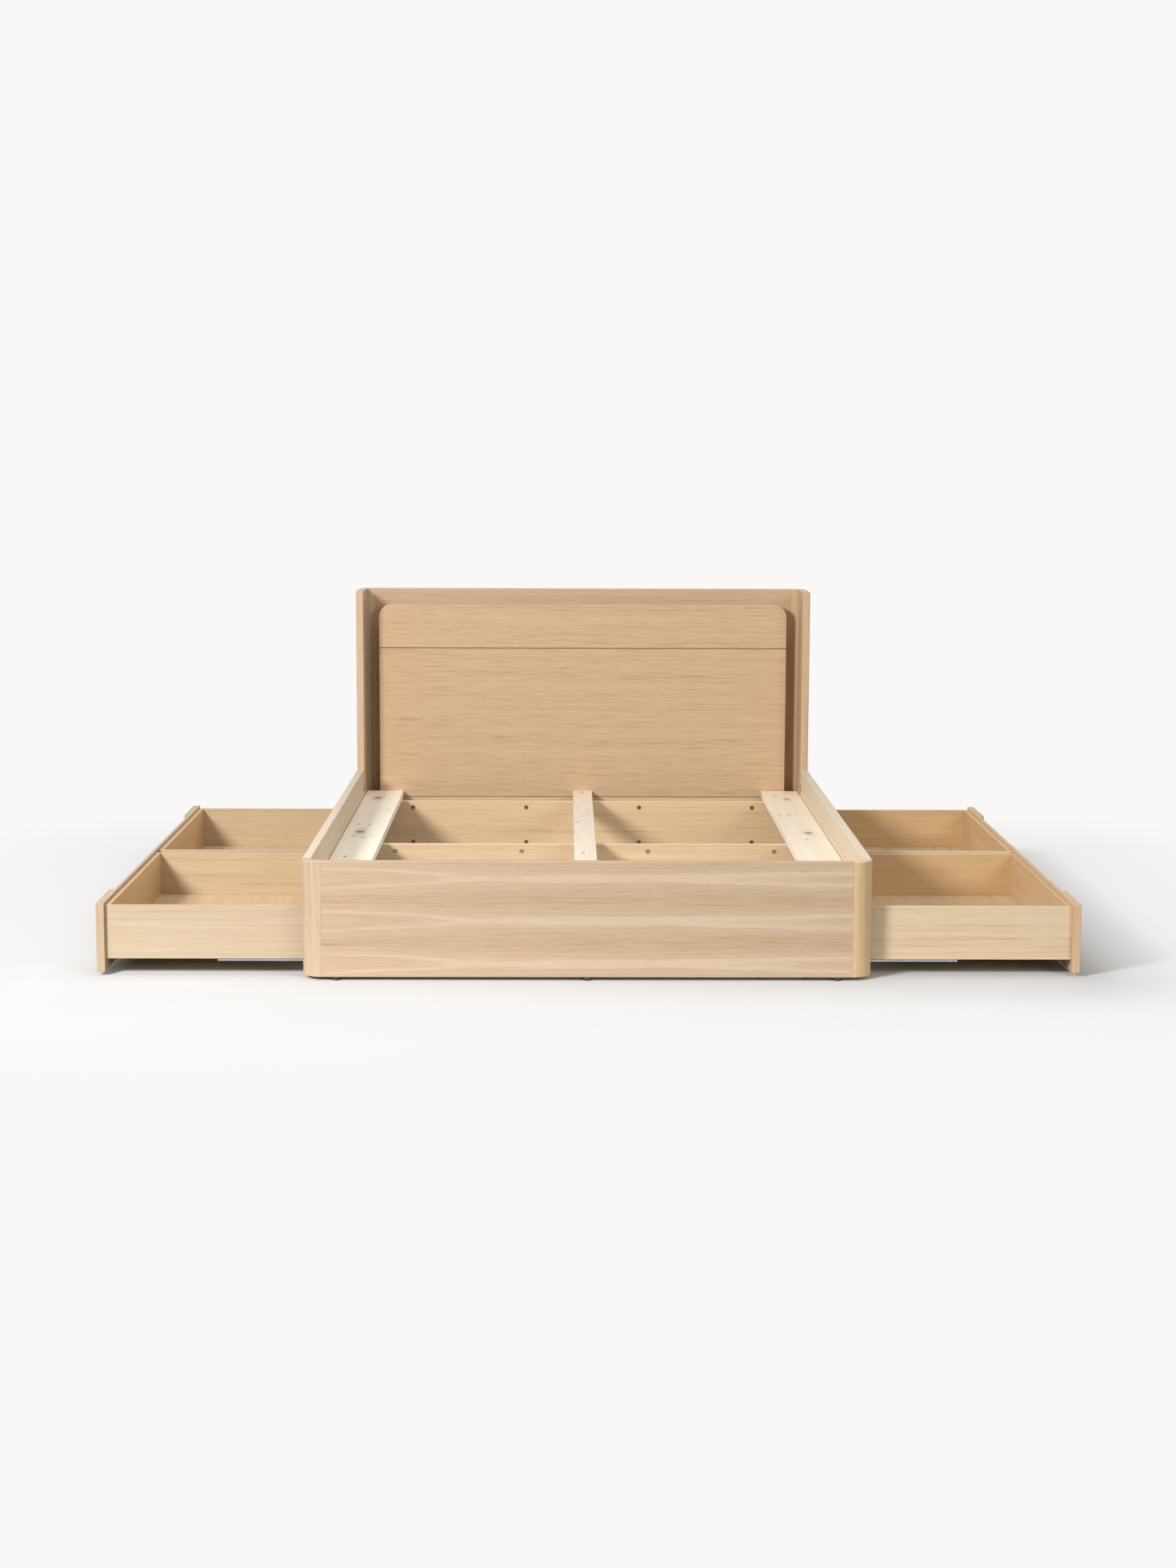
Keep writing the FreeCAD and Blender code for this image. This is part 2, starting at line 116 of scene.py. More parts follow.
def wood(name, ways, tones, bands=0.5, lines=0.9, fibres=0.22, pores=0.22, roughness=0.45,
         leaf=0.0, start=0.0, tongue=None, inner_shade=None, ends=None, painted_highlight=None):
    """Lacquered wood. ways names the axes along the grain, across it and into the board; leaf is
    the width of a veneer that repeats from start; tongue draws the long tongues of a flat cut;
    inner_shade is how far off the middle of the bed a box's inner faces lie, and a warm tint
    multiplied onto them as painted shade and bounced light inside the box; ends is where a
    board's end bands lie, with upright grain; painted_highlight is the height of a top edge
    painted paler as a highlight, and its tone."""
    oak = Finish(name)
    place = oak.add("TexCoord", out=3)
    axes = oak.tree.nodes.new("ShaderNodeSeparateXYZ")
    oak.join(place, axes.inputs[0])
    along, across, into = (axes.outputs["xyz".index(way)] for way in ways)
    if ends or inner_shade:
        off = oak.math("ABSOLUTE", axes.outputs["Y"])
    if ends:
        on_end = oak.math("MAXIMUM", oak.math("LESS_THAN", off, ends[0]),
                          oak.math("GREATER_THAN", off, ends[1]))
        upright = oak.add("CombineXYZ", across, into, along)
        level = oak.add("CombineXYZ", along, across, into)
        along, across, into = oak.add("SeparateXYZ", oak.mix(on_end, level, upright)).node.outputs
    wide = oak.add("CombineXYZ", along, across, into)
    if leaf:
        across = oak.math("FLOORED_MODULO", oak.math("SUBTRACT", across, start), leaf)
    figure = oak.add("CombineXYZ", along, across, into)
    if tongue:
        middle, tips, openings, ring = tongue
        sway = oak.math("MULTIPLY_ADD", oak.noise(figure, (3.0, 14.0, 14.0), 2.0), 0.016, -0.008)
        aside = oak.math("ADD", oak.math("SUBTRACT", across, middle), sway)
        left = oak.math("MAXIMUM", oak.math("SUBTRACT", tips[0], along), 0.0)
        right = oak.math("MAXIMUM", oak.math("SUBTRACT", along, tips[1]), 0.0)
        depth = oak.math("MULTIPLY", aside, aside)
        depth = oak.math("MULTIPLY_ADD", left, -openings[0], depth)
        depth = oak.math("MULTIPLY_ADD", right, -openings[1], depth)
        figure = oak.add("CombineXYZ", along, oak.math("DIVIDE", depth, ring), into)

    # Broad bands, growth lines and fibres, each far longer along the grain than across it.
    band = oak.noise(figure, (0.8, 30.0, 30.0), 2.0)
    line = oak.noise(figure, (1.9, 210.0, 210.0), 4.0, 0.7)
    fibre = oak.step(oak.noise(wide, (9.0, 560.0, 560.0), 2.0, 0.6), 0.34, 0.66)
    tone = oak.math("MULTIPLY_ADD", band, bands, 0.5 - (bands + lines + fibres) / 2)
    tone = oak.math("MULTIPLY_ADD", line, lines, tone)
    tone = oak.math("MULTIPLY_ADD", fibre, fibres, tone)
    if tongue:
        rim = oak.step(oak.math("ABSOLUTE", depth), 0.0, 0.00028, -0.36, 0.0)
        heart = oak.step(depth, 0.0003, 0.0019, -0.04, 0.10)
        tone = oak.math("ADD", oak.math("ADD", tone, rim), heart)
    # Open pores: short dark dashes that lie a little below the surface.
    dash = oak.step(oak.noise(wide, (22.0, 480.0, 480.0), 1.0), 0.56, 0.70)

    pale, middle, dark = (colour(code) for code in tones)
    tint = oak.mix(oak.step(tone, 0.05, 0.5), pale, middle)
    tint = oak.mix(oak.step(tone, 0.5, 0.95), tint, dark)
    tint = oak.mix(oak.math("MULTIPLY", dash, pores), tint, dark)
    # Painted shade: the inner faces of a box get a warm tint multiplied in, standing in for shade
    # and bounced light inside it.
    if inner_shade:
        near, end, painted_shade_tint = inner_shade
        painted_shade_share = oak.math("MULTIPLY", oak.step(off, near - 0.012, near - 0.002),
                          oak.step(off, end + 0.002, end + 0.012, 1.0, 0.0))
        tint = oak.mix(painted_shade_share, tint, colour(painted_shade_tint), "MULTIPLY")
    # Painted highlight: a thin band just under the top edge is mixed toward a paler tone.
    if painted_highlight:
        top, highlight_tone = painted_highlight
        share = oak.step(axes.outputs["Z"], top - 0.0012, top - 0.0002, 0.0, 0.7)
        tint = oak.mix(share, tint, colour(highlight_tone))
    polish = oak.math("MULTIPLY_ADD", fibre, 0.12, roughness - 0.05)
    height = oak.math("SUBTRACT", oak.math("MULTIPLY", fibre, 0.4), dash)
    return oak.surface(tint, polish, height, 0.00012, Specular_IOR_Level=0.2)


def eased_edges():
    """A node group that merges a board's faces and shades it smooth across its round parts."""
    group = bpy.data.node_groups.new("eased_edges", "GeometryNodeTree")
    group.interface.new_socket("Geometry", in_out="INPUT", socket_type="NodeSocketGeometry")
    group.interface.new_socket("Geometry", in_out="OUTPUT", socket_type="NodeSocketGeometry")
    made = {kind: group.nodes.new(kind) for kind in (
        "NodeGroupInput", "GeometryNodeRemoveAttribute", "GeometryNodeMergeByDistance",
        "GeometryNodeSetShadeSmooth", "GeometryNodeInputMeshEdgeAngle", "FunctionNodeCompare",
        "NodeGroupOutput")}
    made["GeometryNodeRemoveAttribute"].inputs["Name"].default_value = "custom_normal"
    made["GeometryNodeMergeByDistance"].inputs["Distance"].default_value = 0.00002
    faces = made["GeometryNodeSetShadeSmooth"]
    edges = group.nodes.new("GeometryNodeSetShadeSmooth")
    edges.domain = "EDGE"
    edges.inputs["Shade Smooth"].default_value = False
    made["FunctionNodeCompare"].operation = "GREATER_THAN"
    made["FunctionNodeCompare"].inputs[1].default_value = math.radians(28)
    group.links.new(made["GeometryNodeInputMeshEdgeAngle"].outputs[0],
                    made["FunctionNodeCompare"].inputs[0])
    group.links.new(made["FunctionNodeCompare"].outputs[0], edges.inputs["Selection"])
    chain = [made["NodeGroupInput"], made["GeometryNodeRemoveAttribute"],
             made["GeometryNodeMergeByDistance"], faces, edges, made["NodeGroupOutput"]]
    for first, second in zip(chain, chain[1:]):
        group.links.new(first.outputs[0], second.inputs[0])
    return group


EASED = eased_edges()


def dress(node, material, edge=0.0008):
    """Gives a CAD board its finish, and takes the sharpness off its edges."""
    board = nodes[node]
    board.data.materials.clear()
    board.data.materials.append(material)
    board.modifiers.new("merged", "NODES").node_group = EASED
    if edge:
        flat = board.modifiers.new("flat_faces", "DECIMATE")
        flat.decimate_type, flat.angle_limit = "DISSOLVE", math.radians(0.5)
        arris = board.modifiers.new("arris", "BEVEL")
        arris.width, arris.segments, arris.limit_method = edge, 2, "ANGLE"
        arris.angle_limit, arris.harden_normals = math.radians(28), True
        arris.use_clamp_overlap = False
    return board


foot_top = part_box("foot_panel")[1].z
foot_leaf, top_leaf = 0.118, 0.105
foot_veneer = wood("foot_panel_veneer", "xzy", ("CAB59D", "BEA588", "A58767"),
                   bands=0.35, lines=0.8, leaf=foot_leaf, start=foot_top - top_leaf,
                   tongue=(0.059, (-0.324, 0.177), (0.0018, 0.00042), 0.05))
dress("foot_panel", foot_veneer)


# ---------------------------------------------------------------------------------------------
# Foot posts: quarter-round solid oak corners, turned on the outside, that join the foot panel
# to the side rails. The grain stands upright.

left_post_oak = wood("left_post_oak", "zxy", ("CAB79F", "C0A98E", "A6896A"),
                     lines=1.3, pores=0.4)
right_post_oak = wood("right_post_oak", "zxy", ("DDC2A0", "D3B48B", "B89369"),
                      lines=1.1, pores=0.4)
dress("foot_post_left", left_post_oak)
dress("foot_post_right", right_post_oak)


# ---------------------------------------------------------------------------------------------
# Side rails: solid oak boards on edge along both sides, above the drawers. The grain runs along
# the bed, and shows as wavy lines on the top edge.

rail_oak = wood("rail_oak", "yxz", ("DED8CD", "D6C6AF", "BAA181"))
for side in ("left", "right"):
    dress("side_rail_" + side, rail_oak)


# ---------------------------------------------------------------------------------------------
# Headboard: a veneered back panel between two round posts, with a solid wing forward from each
# post down to the floor. The wings' grain stands upright.

for side, oak in (("left", wood("left_wing_oak", "zxy", ("CFBBA1", "C4A98D", "A78563"))),
                  ("right", wood("right_wing_oak", "zxy", ("CDB496", "C1A380", "A4805C")))):
    dress("headboard_wing_" + side, oak)
    dress("headboard_post_" + side, oak)
back_veneer = wood("headboard_back_veneer", "xzy", ("CBB198", "BFA185", "A07C5E"))
dress("headboard_back_panel", back_veneer)


# ---------------------------------------------------------------------------------------------
# Headboard face boards: two veneered boards screwed on upright battens that stand them off the
# back panel, one above the other with a fine joint between. Straight, quiet grain along the
# bed's width, from one leaf of veneer laid again and again.

face_veneer = wood("face_board_veneer", "xzy", ("CDB497", "C4A685", "A6825F"), leaf=0.232,
                   bands=0.28, lines=0.65, fibres=0.4, pores=0.15)
for board in ("headboard_upper_board", "headboard_lower_board"):
    dress(board, face_veneer)


def block(shape, low, high):
    """Adds a box between two corners to a shape."""
    made = bmesh.ops.create_cube(shape, size=1.0)["verts"]
    bmesh.ops.scale(shape, vec=Vector(high) - Vector(low), verts=made)
    bmesh.ops.translate(shape, vec=(Vector(low) + Vector(high)) / 2, verts=made)


def keep(name, shape, material, body="bed_frame"):
    """Makes a shape into a piece of the bed that moves with one of its bodies."""
    bmesh.ops.recalc_face_normals(shape, faces=shape.faces)
    mesh = bpy.data.meshes.new(name)
    shape.to_mesh(mesh)
    shape.free()
    mesh.materials.append(material)
    piece = bpy.data.objects.new(name, mesh)
    bpy.context.scene.collection.objects.link(piece)
    piece.modifiers.new("merged", "NODES").node_group = EASED
    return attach(piece, body)


# A loose tongue fills the joint between the two boards and leaves a groove this deep in front.
groove_depth, tongue_depth, tongue_end = 0.007, 0.010, 0.004
lower_low, lower_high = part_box("headboard_lower_board")
joint_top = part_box("headboard_upper_board")[0].z
tongue = bmesh.new()
block(tongue, (lower_low.x + tongue_end, lower_low.y + groove_depth, lower_high.z),
      (lower_high.x - tongue_end, lower_low.y + groove_depth + tongue_depth, joint_top))
keep("headboard_joint_tongue", tongue, face_veneer)


# ---------------------------------------------------------------------------------------------
# Ledger and cross panels: veneered boards across the bed that carry the slat boards and the
# beam. The ledger is screwed to the headboard, and the cross panels stand on the floor.

panel_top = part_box("mid_cross_panel")[1].z
# A thin band along each panel's top edge is painted paler: a painted highlight where light catches
# the eased edge.
cross_veneer = wood("cross_panel_veneer", "xzy", ("DDC5A7", "D0B38E", "B38C5C"), pores=0.15,
                    painted_highlight=(panel_top, "F0DCBF"))
for board in ("headboard_ledger", "foot_cross_panel", "mid_cross_panel", "head_cross_panel"):
    dress(board, cross_veneer)


# ---------------------------------------------------------------------------------------------
# Connector bolts: flat steel heads in the middle panel, bronzed ones in the head panel, where
# the cross panels are drawn up to the frame.

def metal(name, tones, roughness, scale):
    """Plain metal with fine scratches and a slightly uneven polish."""
    plate = Finish(name)
    place = plate.add("TexCoord", out=3)
    cloud = plate.noise(place, (scale, scale, scale), 3.0, 0.6)
    scratch = plate.noise(place, (scale * 0.2, scale * 8.0, scale * 8.0), 2.0)
    tint = plate.mix(plate.step(cloud, 0.3, 0.7), *(colour(code) for code in tones))
    polish = plate.step(scratch, 0.3, 0.7, roughness - 0.08, roughness + 0.1)
    return plate.surface(tint, polish, scratch, 0.00004, Metallic=1.0)


def turned(shape, rings, seat, facing):
    """Adds a round part made of rings (radius, height), on a seat and facing along an axis.
    A ring with a third value follows a six-sided socket."""
    turn = Vector((0.0, 0.0, 1.0)).rotation_difference(Vector(facing)).to_matrix()
    sides, sixth, loops = 24, math.pi / 3, []
    for radius, height, *socket in rings:
        loop = []
        for step in range(sides):
            angle = math.tau * step / sides
            flat = math.cos(sixth / 2) / math.cos(angle % sixth - sixth / 2)
            size = radius * flat if socket else radius
            spot = Vector((size * math.cos(angle), size * math.sin(angle), height))
            loop.append(shape.verts.new(Vector(seat) + turn @ spot))
        loops.append(loop)
    for first, second in zip(loops, loops[1:]):
        for step in range(sides):
            shape.faces.new((first[step - 1], first[step], second[step], second[step - 1]))
    shape.faces.new(loops[0])
    shape.faces.new(loops[-1])


bolt_columns, bolt_rows = (-0.587, -0.1955, 0.1955, 0.587), (0.079, 0.200)
head_height, head_radius, shank_radius = 0.0025, 0.007, 0.0035
socket_radius, socket_floor = 0.0038, 0.0004
for node, name, slot, finish in (
        ("steel_bolts", "middle_panel_bolts", "bolt_steel",
         metal("bolt_steel_finish", ("C4BFAE", "A6A190"), 0.38, 300.0)),
        ("bronze_bolts", "head_panel_bolts", "bolt_bronze",
         metal("bolt_bronze_finish", ("93825F", "6F6044"), 0.40, 300.0))):
    bolt_low, bolt_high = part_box(node)
    panel_face = bolt_low.y + head_height
    dress(node, finish, 0.0)
    bolts = bmesh.new()
    for x in bolt_columns:
        for z in bolt_rows:
            turned(bolts, ((shank_radius, panel_face - bolt_high.y), (shank_radius, 0.0),
                           (head_radius, 0.0), (head_radius, head_height * 0.6),
                           (head_radius * 0.88, head_height), (socket_radius, head_height, True),
                           (socket_radius, socket_floor, True)),
                   (x, panel_face, z), (0.0, -1.0, 0.0))
    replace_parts(keep(name, bolts, finish), node)


# Hook plates of bronzed steel, let into the rails' inner faces beside the wings, where the
# rails hang.
plate_y, plate_z, plate_proud = (0.906, 0.926), (0.254, 0.282), 0.0004
rail_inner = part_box("side_rail_right")[0].x
plates = bmesh.new()
for side in (-1, 1):
    across = sorted((side * rail_inner, side * (rail_inner - plate_proud)))
    block(plates, (across[0], plate_y[0], plate_z[0]), (across[1], plate_y[1], plate_z[1]))
hook_plate = metal("hook_plate_finish", ("B09677", "947C60"), 0.5, 250.0)
keep("rail_hook_plates", plates, hook_plate)


# ---------------------------------------------------------------------------------------------
# Slat boards and middle beam: planed pine of short lengths finger-jointed end to end, left bare.
# They lie on the ledgers and panels and carry the bed base.

def pine(name, tones, joints, knots, middle):
    """Bare planed pine. joints are the glue lines along the bed; knots are (x, y, width, length);
    middle is the board's middle line, over the heart of the log."""
    deal = Finish(name)
    heart_height, ring_width = 0.19, 0.009
    glue_tone, tail_tone, knot_tone = colour("C9A882"), colour("CFAE84"), colour("705840")
    place = deal.add("TexCoord", out=3)
    axes = deal.tree.nodes.new("ShaderNodeSeparateXYZ")
    deal.join(place, axes.inputs[0])
    x, y, z = axes.outputs
    length, glue = 0.0, 0.0
    for joint in joints:
        length = deal.math("ADD", length, deal.math("GREATER_THAN", y, joint))
        gap = deal.math("ABSOLUTE", deal.math("SUBTRACT", y, joint))
        glue = deal.math("MAXIMUM", glue, deal.step(gap, 0.0008, 0.0035, 1.0, 0.0))
    shift = deal.math("MULTIPLY", length, 0.37)
    across = deal.math("ADD", deal.math("SUBTRACT", x, middle), deal.math("MULTIPLY", shift, 0.13))
    figure = deal.add("CombineXYZ", deal.math("ADD", y, shift), across, z)
    knot, tail, bend = 0.0, 0.0, 0.0
    for knot_x, knot_y, width, long in knots:
        off_x = deal.math("DIVIDE", deal.math("SUBTRACT", x, knot_x), width / 2)
        off_y = deal.math("DIVIDE", deal.math("SUBTRACT", y, knot_y), long / 2)
        away = deal.math("SQRT", deal.math("ADD", deal.math("MULTIPLY", off_x, off_x),
                                           deal.math("MULTIPLY", off_y, off_y)))
        knot = deal.math("MAXIMUM", knot, deal.step(away, 0.45, 1.05, 1.0, 0.0))
        drawn = deal.math("DIVIDE", off_y, 3.5)
        stretched = deal.math("SQRT", deal.math("ADD", deal.math("MULTIPLY", off_x, off_x),
                                                deal.math("MULTIPLY", drawn, drawn)))
        tail = deal.math("MAXIMUM", tail, deal.step(stretched, 0.3, 1.8, 1.0, 0.0))
        bend = deal.math("ADD", bend, deal.step(stretched, 0.5, 4.0, 0.005, 0.0))
    sway = deal.math("SUBTRACT", deal.noise(figure, (2.5, 14.0, 14.0), 1.0), 0.5)
    aside = deal.math("ADD", deal.math("ADD", across, bend), deal.math("MULTIPLY", sway, 0.03))
    below = deal.math("SUBTRACT", z, heart_height)
    reach = deal.math("SQRT", deal.math("ADD", deal.math("MULTIPLY", aside, aside),
                                        deal.math("MULTIPLY", below, below)))
    ring = deal.math("FRACT", deal.math("DIVIDE", reach, ring_width))
    late = deal.math("POWER", ring, 4.0)
    fibre = deal.noise(figure, (10.0, 420.0, 420.0), 2.0, 0.6)
    cloud = deal.noise(figure, (2.0, 22.0, 22.0), 2.0)
    pale, dull, late_wood = (colour(code) for code in tones)
    tint = deal.mix(deal.step(cloud, 0.3, 0.7), pale, dull)
    tint = deal.mix(deal.math("MULTIPLY", late, 0.22), tint, late_wood)
    tint = deal.mix(deal.step(fibre, 0.4, 0.8, 0.0, 0.3), tint, late_wood)
    tint = deal.mix(deal.math("MULTIPLY", glue, 0.35), tint, glue_tone)
    tint = deal.mix(deal.math("MULTIPLY", tail, 0.5), tint, tail_tone)
    tint = deal.mix(deal.math("MULTIPLY", knot, 0.9), tint, knot_tone)
    polish = deal.step(fibre, 0.2, 0.8, 0.52, 0.66)
    height = deal.math("SUBTRACT", deal.math("MULTIPLY", fibre, 0.4), glue)
    return deal.surface(tint, polish, height, 0.0003, Specular_IOR_Level=0.2)


left_knots = ((-0.7034, 0.8497, 0.034, 0.034), (-0.7048, 0.0977, 0.038, 0.044),
              (-0.6841, 0.9037, 0.009, 0.010), (-0.7222, 0.2563, 0.010, 0.010),
              (-0.6872, 0.2432, 0.009, 0.010), (-0.7197, 0.0120, 0.012, 0.010),
              (-0.6855, -0.0171, 0.009, 0.010), (-0.7115, -0.3795, 0.011, 0.012),
              (-0.6498, 0.5700, 0.009, 0.009))
right_knots = ((0.7008, 0.8361, 0.024, 0.022), (0.7031, 0.0868, 0.032, 0.030),
               (0.6438, 0.4705, 0.010, 0.010), (0.6761, 0.4721, 0.010, 0.009),
               (0.6694, 0.9224, 0.011, 0.010), (0.6871, -0.0421, 0.011, 0.010),
               (0.6900, -0.6100, 0.020, 0.022))
beam_knots = ((-0.0028, 0.9925, 0.016, 0.016), (-0.0274, 0.7734, 0.007, 0.008),
              (-0.0192, 0.6237, 0.008, 0.008), (-0.0217, 0.3055, 0.012, 0.010),
              (-0.0067, -0.3038, 0.012, 0.012), (0.0120, -0.7100, 0.014, 0.015))
# The left board is toned lighter and warmer than the right one: painted light over the shade that
# the left rail casts on it.
for board, name, tones, joints, knots, middle in (
        ("slat_board_left", "left_pine_painted_light", ("FFFAEC", "FDF2E0", "E8CEA6"),
         (-0.52, -0.005, 0.50), left_knots, -0.689),
        ("slat_board_right", "right_pine", ("F7EEDE", "F3E6D1", "DBC099"),
         (-0.57, -0.063, 0.461), right_knots, 0.689),
        ("centre_beam", "beam_pine", ("F0E7D7", "EDE0CA", "D6BB95"),
         (-0.62, -0.10, 0.43), beam_knots, 0.0)):
    dress(board, pine(name, tones, joints, knots, middle), 0.001)


# ---------------------------------------------------------------------------------------------
# Floor glides: small round feet of black moulded plastic, pressed into the underside of the
# panels and posts, which hold the wood off the floor.

def plastic(name, tones, roughness, grain):
    """Moulded plastic with a fine spark-eroded grain."""
    shell = Finish(name)
    place = shell.add("TexCoord", out=3)
    cloud = shell.noise(place, (40.0, 40.0, 40.0), 2.0)
    spark = shell.noise(place, (grain, grain, grain), 1.0)
    tint = shell.mix(shell.step(cloud, 0.3, 0.7), *(colour(code) for code in tones))
    polish = shell.step(spark, 0.3, 0.7, roughness - 0.06, roughness + 0.08)
    return shell.surface(tint, polish, spark, 0.00006)


dress("floor_glides", plastic("glide_plastic_finish", ("2B2927", "3A3734"), 0.5, 2500.0), 0.0004)


# ---------------------------------------------------------------------------------------------
# Drawer fronts: veneered boards with a finger-pull rebate cut into the outer top edge, screwed
# to the box from inside. The grain runs along the bed.

DRAWERS = ("foot_left", "foot_right", "head_left", "head_right")
front_low, front_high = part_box("drawer_head_left_front")
band_depth = 0.0009
front_ends = (front_low.y + band_depth, front_high.y - band_depth)
# The left fronts are toned darker and the right ones lighter: painted shade on the left and
# painted light on the right, evening out the light that falls harder on the left.
FRONT_OAK = {"left": wood("left_front_veneer_painted_shade", "yzx", ("C8B5A1", "BBA488", "A0815F"),
                          ends=front_ends),
             "right": wood("right_front_veneer_painted_light", "yzx", ("D4B89A", "C6A782", "AC855C"),
                           ends=front_ends)}
for drawer in DRAWERS:
    dress("drawer_" + drawer + "_front", FRONT_OAK[drawer.split("_")[1]], 0.0012)


# ---------------------------------------------------------------------------------------------
# Drawer boxes: oak-veneered boards 15 mm thick, lipped on their top edges, joined at the corners
# and grooved for a thin bottom whose grain runs along the bed.

# Where the boxes' inner faces lie off the middle of the bed; the side and end veneers get a
# painted warm shade there.
inner_faces = (0.0335, 0.9005)
# The left sides are toned darker and the right ones lighter: painted shade on the left and painted
# light on the right, evening out the light that falls harder on the left.
SIDE_OAK = {"left": wood("left_side_veneer_painted_shade", "xzy", ("CCBBA8", "BFAA8F", "A68665"), lines=0.75,
                         pores=0.1, inner_shade=(*inner_faces, "FFFEF7")),
            "right": wood("right_side_veneer_painted_light", "xzy", ("DFCCB4", "D1BA9B", "B6946D"), lines=0.75,
                          pores=0.1, inner_shade=(*inner_faces, "F1E3CC"))}
box_ends_oak = wood("drawer_end_veneer", "yzx", ("D1BEA6", "C4AD8E", "AB8965"),
                    inner_shade=(*inner_faces, "FFF3E2"))
bottom_oak = wood("drawer_bottom_veneer", "yxz", ("E2CAA9", "D6BA93", "B8956C"), bands=0.8)
for drawer in DRAWERS:
    dress("drawer_" + drawer + "_sides", SIDE_OAK[drawer.split("_")[1]], 0.001)
    dress("drawer_" + drawer + "_inner_front", box_ends_oak, 0.001)
    dress("drawer_" + drawer + "_back", box_ends_oak, 0.001)
    dress("drawer_" + drawer + "_bottom", bottom_oak, 0.0)

# The front is held by two pairs of small pan-head screws through each inner front.
screw_end, screw_rows = 0.108, (0.115, 0.145)
screw_rings = ((0.0031, 0.0), (0.0026, 0.0011), (0.0018, 0.0015), (0.0012, 0.0015, True),
               (0.0012, 0.0007, True))
screw_steel = metal("drawer_screw_finish", ("726D64", "5A554D"), 0.4, 400.0)
for drawer in DRAWERS:
    low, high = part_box("drawer_" + drawer + "_inner_front")
    inward = 1 if drawer.endswith("left") else -1
    screws = bmesh.new()
    for y in (low.y + screw_end, high.y - screw_end):
        for z in screw_rows:
            seat = (high.x if inward > 0 else low.x, y, z)
            turned(screws, screw_rings, seat, (inward, 0.0, 0.0))
    keep("drawer_" + drawer + "_screws", screws, screw_steel, "drawer_" + drawer)


# ---------------------------------------------------------------------------------------------
# Drawer runners: zinc-plated steel channels under each side of a box, a middle beam that rolls
# half as far, and the fixed channels on the cross panels; a grey plastic clip locks each front.

runner_zinc = metal("runner_zinc_finish", ("C4C8CC", "AEB3B8"), 0.36, 120.0)
clip_grey = plastic("clip_plastic_finish", ("C4C5C5", "B2B3B4"), 0.48, 2200.0)
dress("fixed_runners", runner_zinc, 0.0)
for drawer in DRAWERS:
    dress("drawer_" + drawer + "_runners", runner_zinc, 0.0)
    dress("drawer_" + drawer + "_middle_runners", runner_zinc, 0.0)
    dress("drawer_" + drawer + "_clips", clip_grey, 0.0005)


# ---------------------------------------------------------------------------------------------
# Studio: a pale floor that fades into a white surround, a soft main light from the front left,
# a weaker one from the right, and broad lights from above and behind.

floor_size, floor_middle, floor_half = 9.0, (0.06, 0.07, 0.0), (1.31, 1.03, 0.0)
ground = bmesh.new()
bmesh.ops.create_grid(ground, x_segments=1, y_segments=1, size=floor_size)
floor_mesh = bpy.data.meshes.new("studio_floor")
ground.to_mesh(floor_mesh)
ground.free()
floor = bpy.data.objects.new("studio_floor", floor_mesh)
bpy.context.scene.collection.objects.link(floor)
pale = Finish("studio_floor_paint")
spot = pale.add("TexCoord", out=3)
beyond = pale.add("VectorMath", pale.add("VectorMath", spot, floor_middle, operation="SUBTRACT"),
                  operation="ABSOLUTE")
beyond = pale.add("VectorMath", beyond, floor_half, operation="SUBTRACT")
beyond = pale.add("VectorMath", beyond, (0.0, 0.0, 0.0), operation="MAXIMUM")
far = pale.add("VectorMath", beyond, operation="LENGTH", out=1)
grit = pale.noise(spot, (30.0, 30.0, 30.0), 2.0)
pale.surface(pale.mix(grit, colour("D4D4D4"), colour("D6D6D6")), 0.9, grit, 0.0001,
             Specular_IOR_Level=0.1)
seen = pale.add("BsdfTransparent")
fading = pale.tree.nodes.new("ShaderNodeMixShader")
soon, later = pale.step(far, 0.0, 0.4, 0.0, 0.75), pale.step(far, 0.2, 1.2, 0.0, 0.25)
pale.join(pale.math("ADD", soon, later), fading.inputs[0])
pale.join(pale.shader.outputs[0], fading.inputs[1])
pale.join(seen, fading.inputs[2])
pale.join(fading.outputs[0], pale.tree.nodes["Material Output"].inputs[0])
floor.data.materials.append(pale.material)

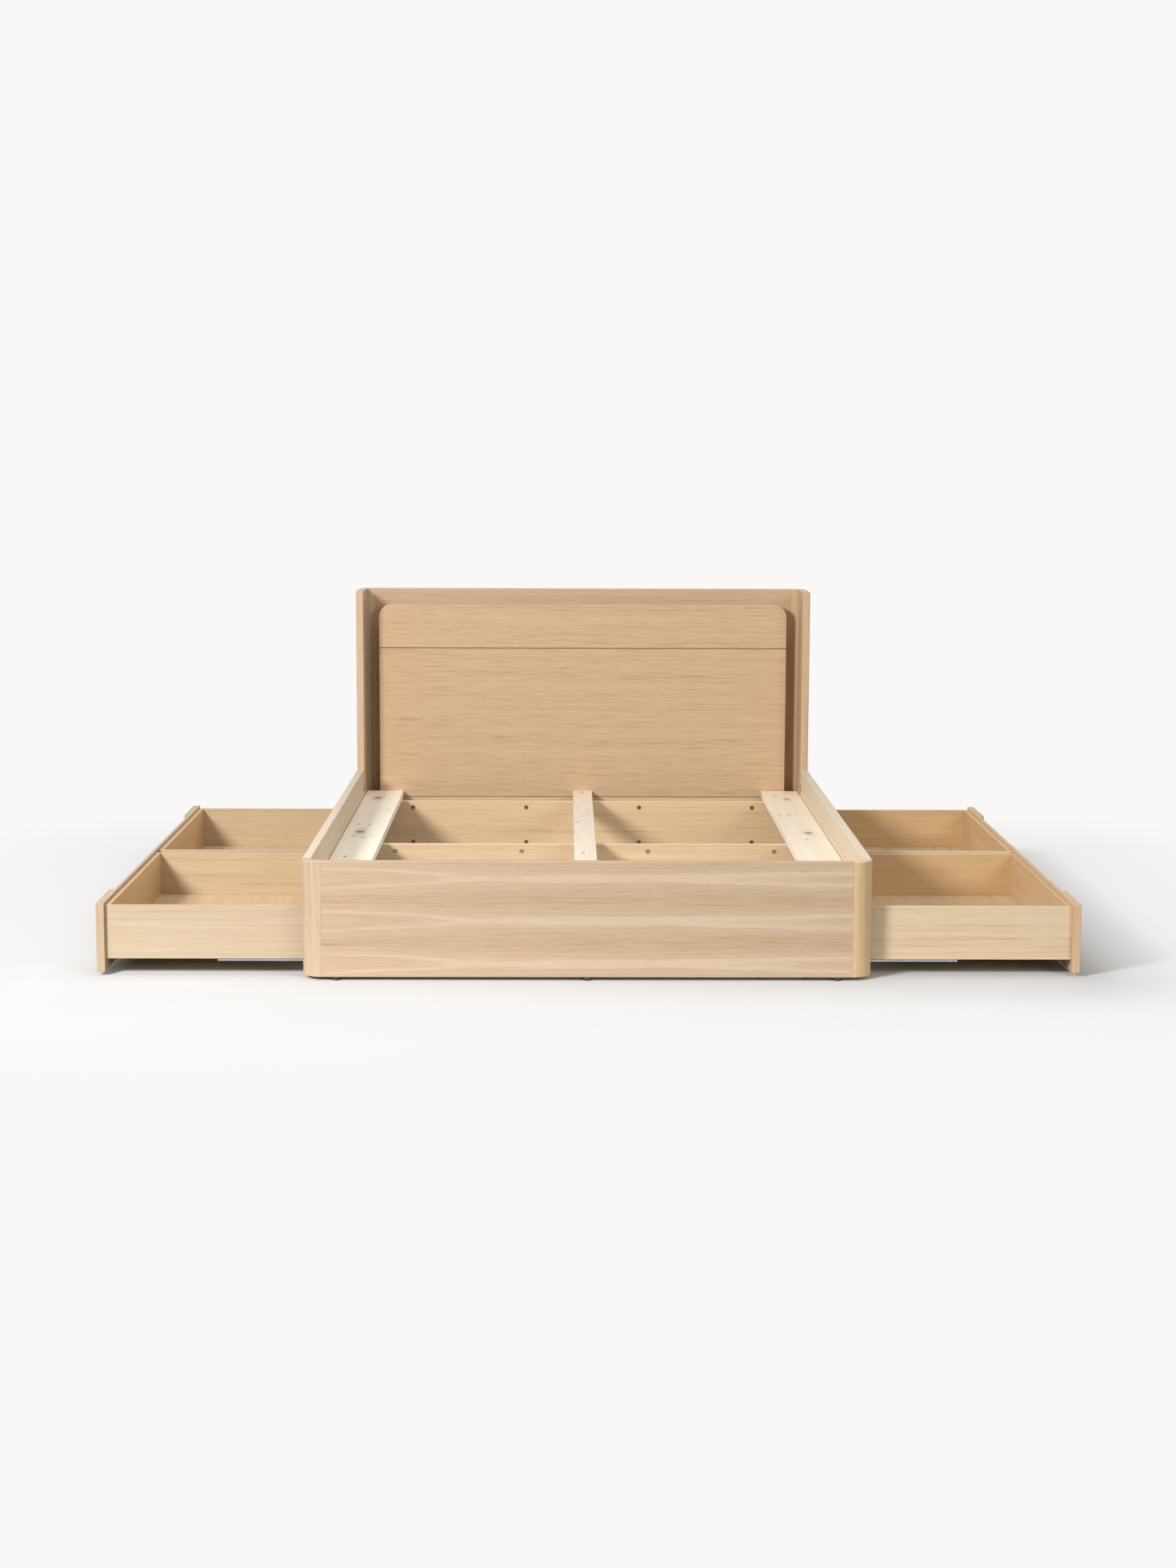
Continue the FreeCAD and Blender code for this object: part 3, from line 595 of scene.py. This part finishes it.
world = bpy.data.worlds.new("studio_surround")
bpy.context.scene.world = world
world.use_nodes = True
sky = world.node_tree
light, white = sky.nodes["Background"], sky.nodes.new("ShaderNodeBackground")
light.inputs[0].default_value, light.inputs[1].default_value = colour("FFFEFC"), 0.22
white.inputs[0].default_value, white.inputs[1].default_value = colour("FAF8F6"), 1.0
path, either, both, blend = (sky.nodes.new("ShaderNode" + kind)
                             for kind in ("LightPath", "Math", "Math", "MixShader"))
either.operation = both.operation = "MAXIMUM"
sky.links.new(path.outputs["Is Camera Ray"], either.inputs[0])
sky.links.new(path.outputs["Is Glossy Ray"], either.inputs[1])
sky.links.new(either.outputs[0], both.inputs[0])
sky.links.new(path.outputs["Is Transmission Ray"], both.inputs[1])
sky.links.new(both.outputs[0], blend.inputs[0])
sky.links.new(light.outputs[0], blend.inputs[1])
sky.links.new(white.outputs[0], blend.inputs[2])
sky.links.new(blend.outputs[0], sky.nodes["World Output"].inputs[0])

light_target = Vector((0.0, 0.0, 0.3))
for name, place, size, watts in (("key_light", (-3.4, -4.5, 2.95), 1.35, 380.0),
                                 ("fill_light", (3.6, -4.5, 2.6), 2.5, 100.0),
                                 ("top_light", (0.0, 0.0, 4.0), 4.0, 48.0),
                                 ("back_light", (0.0, 5.5, 2.8), 3.0, 150.0)):
    lamp = bpy.data.lights.new(name, "AREA")
    lamp.shape, lamp.size, lamp.energy = "DISK", size, watts
    stand = bpy.data.objects.new(name, lamp)
    stand.location = place
    stand.visible_glossy = name != "back_light"
    towards = light_target - stand.location
    stand.rotation_euler = towards.to_track_quat("-Z", "Y").to_euler()
    bpy.context.scene.collection.objects.link(stand)


# ---------------------------------------------------------------------------------------------
# Camera: a long lens in front of the foot, a little above the headboard and tipped down.

photo_height, focal_pixels, sensor = 2212, 3571.9, 36.0
yaw, pitch, roll = 0.00953, 0.13593, 0.0033
camera_place = (-0.0643, -7.7654, 1.4701)
lens = bpy.data.cameras.new("studio_camera")
lens.sensor_fit, lens.sensor_height = "VERTICAL", sensor
lens.lens = focal_pixels * sensor / photo_height
camera = bpy.data.objects.new("studio_camera", lens)
camera.matrix_world = (Matrix.Translation(camera_place)
                       @ Matrix.Rotation(-yaw, 4, "Z")
                       @ Matrix.Rotation(math.pi / 2 - pitch, 4, "X")
                       @ Matrix.Rotation(roll, 4, "Z"))
bpy.context.scene.collection.objects.link(camera)
bpy.context.scene.camera = camera
bpy.context.scene.view_settings.view_transform = "Standard"
